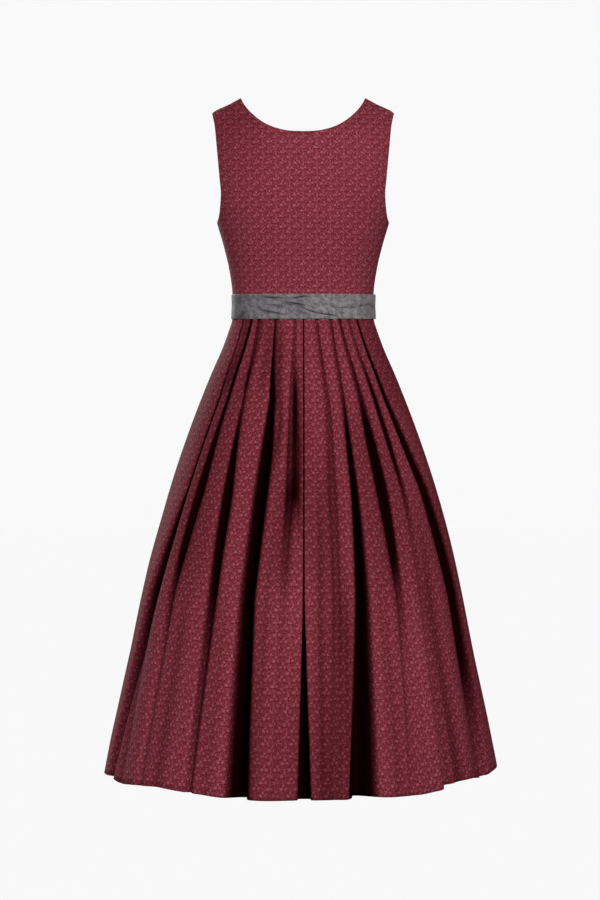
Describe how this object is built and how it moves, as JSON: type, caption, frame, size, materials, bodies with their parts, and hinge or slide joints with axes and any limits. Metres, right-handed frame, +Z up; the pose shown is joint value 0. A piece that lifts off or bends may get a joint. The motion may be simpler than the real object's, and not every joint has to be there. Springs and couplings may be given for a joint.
{
  "type": "dirndl",
  "caption": "Sleeveless midi dirndl in its worn, hollow shape: scoop-necked bodice, pleated flared skirt, and an apron whose band crosses over at the back.",
  "frame": {"origin": "midway between the shoulders, at the height of the neck points where the shoulder seams meet the neck edge", "axes": "+Z up; the wearer faces +Y, so the back of the dress faces -Y; +X is the wearer's right"},
  "size_m": [0.706, 0.5992, 1.2102],
  "materials": {
    "dress_cotton": "matt wine-red cotton with a small pale sprig print",
    "apron_cotton": "matt warm grey cotton with a fine tone-on-tone leaf pattern",
    "button_horn": "dark horn, half polished"
  },
  "bodies": {
    "root": {"bodice_back": "dress_cotton", "bodice_front_left": "dress_cotton", "bodice_front_right": "dress_cotton", "button_1": "button_horn", "button_2": "button_horn", "button_3": "button_horn", "button_4": "button_horn", "button_5": "button_horn", "button_6": "button_horn", "skirt_back": "dress_cotton", "skirt_front": "dress_cotton", "apron_band": "apron_cotton", "tie_over": "apron_cotton", "apron_skirt": "apron_cotton", "bow_knot": "apron_cotton", "bow_loop_left": "apron_cotton", "bow_loop_right": "apron_cotton", "bow_tail_left": "apron_cotton", "bow_tail_right": "apron_cotton"}
  },
  "joints": []
}
